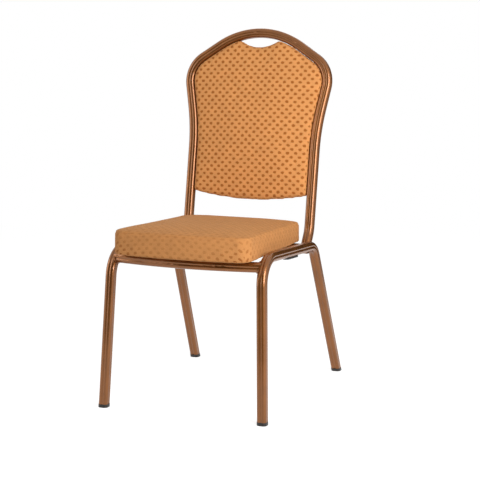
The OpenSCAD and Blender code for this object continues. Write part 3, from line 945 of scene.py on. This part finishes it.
class CHAIR_OT_seat(bpy.types.Operator):
    """Makes the boxed seat cushion"""

    bl_idname = "chair.seat"
    bl_label = "Seat Cushion"

    def execute(self, context):
        cushion = pad(
            "seat_cushion",
            SEAT_PLANE,
            ("seat_cover", "seat_foam", "seat_board"),
            lambda point: point.z < SEAT_BOARD_TOP,
            context.scene.chair_sizes.seat_swell,
            seat_edge,
            "dotted_woven_seat",
            SEAT_SOFTENING,
        )
        sewn(cushion, SEAT_PLANE, lambda point: seat_edge(point) - SEAM_DROP)
        return {"FINISHED"}


# The back in its own plane: the levels beyond which the foam may move the front cushion's and
# the rear panel's cloth, and the distances from the plane at which it folds down their sides
FRONT_HELD = 8 * MM
REAR_HELD = -7 * MM
FRONT_FOLD = 15 * MM
REAR_FOLD = 12 * MM
# The rear panel's thinner foam swells by this share of the front cushion's
REAR_SWELL = 0.5


class CHAIR_OT_back(bpy.types.Operator):
    """Makes the back's front cushion and rear panel"""

    bl_idname = "chair.back"
    bl_label = "Back Cushion and Panel"

    def execute(self, context):
        swell = context.scene.chair_sizes.back_swell
        pad(
            "back_cushion",
            BACK_PLANE,
            ("back_front_cover", "back_front_foam", "back_front_board"),
            lambda point: point.z < FRONT_HELD,
            swell,
            lambda point: FRONT_FOLD,
            "dotted_woven_back",
            BACK_SOFTENING,
        )
        pad(
            "back_panel",
            BACK_PLANE,
            ("back_rear_cover", "back_rear_foam", "back_rear_board"),
            lambda point: point.z > REAR_HELD,
            swell * REAR_SWELL,
            lambda point: REAR_FOLD,
            "dotted_woven_back",
        )
        return {"FINISHED"}


# ---- Studio ----
FLOOR_SIZE = 40
# The paper's own light, the share of the lamps' light that it adds, and where it turns plain white
PAPER_GLOW = 0.8
PAPER_SHADE = 0.5
WHITE_START, WHITE_END = 0.8, 3.0
# The surround's strength on matte surfaces
FILL_LIGHT = 0.26
# Soft boxes: name, azimuth and elevation in degrees, distance, size, and power in watts
LAMPS = (
    ("key", 56, 20, 2.0, (1.0, 1.2), 37),
    ("strip", -62, 14, 2.4, (0.8, 1.8), 15),
    ("back", 195, 32, 3.0, (2.0, 1.6), 15),
)
LAMP_AIM = Vector((0, 0, 0.5))
# Black cards: name, azimuth in degrees, distance, width and height
FLAGS = (
    ("front_flag", 4, 1.6, 2.0, 1.7),
    ("rear_flag", 160, 1.7, 1.6, 1.6),
)
# Lens and sensor in millimetres; the lens is shifted by half of one 480th of the frame
LENS = 105.19
SENSOR = 36
CAMERA_REACH = 60
CAMERA_SHIFT = (-0.5 / 480, 0.5 / 480)
CAMERA_PLACE = Vector((1.3743, -3.0055 - DEPTH_MIDDLE, 0.9663))
CAMERA_TARGET = Vector((0.0456, 0.270 - DEPTH_MIDDLE, 0.3951))


class CHAIR_OT_stage(bpy.types.Operator):
    """Sets the floor, the white surround, the soft boxes, the black cards and the camera"""

    bl_idname = "chair.stage"
    bl_label = "Studio"

    def execute(self, context):
        scene = context.scene
        form = bmesh.new()
        bmesh.ops.create_grid(form, x_segments=1, y_segments=1, size=FLOOR_SIZE / 2)
        floor = place_object("floor", form, Matrix.Identity(4))
        floor.data.materials.append(self.paper())
        self.surround(scene)
        for box in LAMPS:
            self.lamp(*box)
        for card in FLAGS:
            self.flag(*card)
        camera = bpy.data.objects.new("camera", bpy.data.cameras.new("camera"))
        scene.collection.objects.link(camera)
        camera.data.lens = LENS
        camera.data.sensor_width = SENSOR
        camera.data.clip_end = CAMERA_REACH
        camera.data.shift_x, camera.data.shift_y = CAMERA_SHIFT
        camera.location = CAMERA_PLACE
        view = CAMERA_TARGET - CAMERA_PLACE
        camera.rotation_euler = view.to_track_quat("-Z", "Y").to_euler()
        scene.camera = camera
        scene.view_settings.view_transform = "Standard"
        return {"FINISHED"}

    def paper(self):
        """Seamless white background paper, matte, that keeps a soft shadow."""
        # The eye sees plain white that darkens gently under the chair
        material, tree = new_material("seamless_paper")
        path = add_node(tree, "ShaderNodeLightPath")
        seen = add_node(
            tree,
            "ShaderNodeMath",
            {0: path.outputs["Is Camera Ray"], 1: path.outputs["Is Glossy Ray"]},
            operation="MAXIMUM",
        )
        place = add_node(tree, "ShaderNodeTexCoord").outputs["Object"]
        reach = add_node(tree, "ShaderNodeVectorMath", {0: place}, operation="LENGTH")
        # Away from the chair the paper fades into the white surround
        fade = add_node(
            tree,
            "ShaderNodeMapRange",
            {"Value": reach.outputs["Value"], "From Min": WHITE_START, "From Max": WHITE_END},
            interpolation_type="SMOOTHSTEP",
        )
        matte = add_node(tree, "ShaderNodeBsdfDiffuse", {"Color": (*linear("#e4e4e4"), 1)})
        pale = add_node(tree, "ShaderNodeBsdfDiffuse", {"Color": (*[PAPER_SHADE] * 3, 1)})
        glow = add_node(tree, "ShaderNodeEmission", {"Strength": PAPER_GLOW})
        lit = add_node(tree, "ShaderNodeAddShader", {0: pale.outputs[0], 1: glow.outputs[0]})
        white = add_node(tree, "ShaderNodeEmission", {"Strength": 1.0})
        blend = add_node(
            tree,
            "ShaderNodeMixShader",
            {0: fade.outputs["Result"], 1: lit.outputs[0], 2: white.outputs[0]},
        )
        both = add_node(
            tree,
            "ShaderNodeMixShader",
            {0: seen.outputs[0], 1: matte.outputs[0], 2: blend.outputs[0]},
        )
        finish_material(tree, both)
        return material

    def surround(self, scene):
        """White to the lens and in reflections, and a soft even light on the chair."""
        world = bpy.data.worlds.new("studio")
        world.use_nodes = True
        tree = world.node_tree
        tree.nodes.clear()
        path = add_node(tree, "ShaderNodeLightPath")
        direct = add_node(
            tree,
            "ShaderNodeMath",
            {0: path.outputs["Is Camera Ray"], 1: path.outputs["Is Glossy Ray"]},
            operation="MAXIMUM",
        )
        seen = add_node(
            tree,
            "ShaderNodeMath",
            {0: direct.outputs[0], 1: path.outputs["Is Transmission Ray"]},
            operation="MAXIMUM",
        )
        strength = add_node(
            tree,
            "ShaderNodeMapRange",
            {"Value": seen.outputs[0], "To Min": FILL_LIGHT, "To Max": 1.0},
        )
        light = add_node(
            tree,
            "ShaderNodeBackground",
            {"Color": (*linear("#ffffff"), 1), "Strength": strength.outputs["Result"]},
        )
        add_node(tree, "ShaderNodeOutputWorld", {"Surface": light.outputs[0]})
        scene.world = world

    def lamp(self, name, azimuth, elevation, distance, size, power):
        """A soft box of a width and height, aimed at the chair's middle."""
        data = bpy.data.lights.new(name, "AREA")
        data.shape = "RECTANGLE"
        data.size, data.size_y = size
        data.energy = power
        lamp = bpy.data.objects.new(name, data)
        bpy.context.scene.collection.objects.link(lamp)
        turn, rise = math.radians(azimuth), math.radians(elevation)
        level = math.cos(rise)
        away = Vector((math.sin(turn) * level, -math.cos(turn) * level, math.sin(rise)))
        lamp.location = LAMP_AIM + away * distance
        lamp.rotation_euler = (-away).to_track_quat("-Z", "Y").to_euler()

    def flag(self, name, azimuth, distance, width, height):
        """A black card that only reflections see, which gives the glossy tubes their dark lines."""
        form = bmesh.new()
        bmesh.ops.create_grid(form, x_segments=1, y_segments=1, size=0.5)
        bmesh.ops.scale(form, vec=(width, height, 1), verts=form.verts)
        turn = Matrix.Rotation(math.radians(azimuth), 4, "Z")
        stand = turn @ Matrix.Translation((0, -distance, height / 2))
        card = place_object(name, form, stand @ Matrix.Rotation(math.pi / 2, 4, "X"))
        material, tree = new_material(name)
        black = add_node(tree, "ShaderNodeBsdfDiffuse", {"Color": (*linear("#141414"), 1)})
        finish_material(tree, black)
        card.data.materials.append(material)
        card.visible_camera = card.visible_diffuse = False
        card.visible_shadow = card.visible_transmission = False


class CHAIR_PT_panel(bpy.types.Panel):
    """Lists the chair's steps in the sidebar"""

    bl_idname = "CHAIR_PT_panel"
    bl_label = "Stacking Chair"
    bl_space_type = "VIEW_3D"
    bl_region_type = "UI"
    bl_category = "Chair"

    def draw(self, context):
        for group in (context.scene.chair_sizes, context.scene.chair_colours):
            for name in group.__annotations__:
                self.layout.prop(group, name)
        for step in STEPS:
            self.layout.operator(step.bl_idname)


STEPS = (CHAIR_OT_finishes, CHAIR_OT_seat, CHAIR_OT_back, CHAIR_OT_stage)
CLASSES = (ChairSizes, ChairColours, *STEPS, CHAIR_PT_panel)


def register():
    for kind in CLASSES:
        bpy.utils.register_class(kind)
    bpy.types.Scene.chair_sizes = bpy.props.PointerProperty(type=ChairSizes)
    bpy.types.Scene.chair_colours = bpy.props.PointerProperty(type=ChairColours)


def unregister():
    del bpy.types.Scene.chair_sizes
    del bpy.types.Scene.chair_colours
    for kind in reversed(CLASSES):
        bpy.utils.unregister_class(kind)


def main():
    register()
    bpy.ops.chair.finishes()
    bpy.ops.chair.seat()
    bpy.ops.chair.back()
    bpy.ops.chair.stage()


if __name__ == "__main__":
    main()
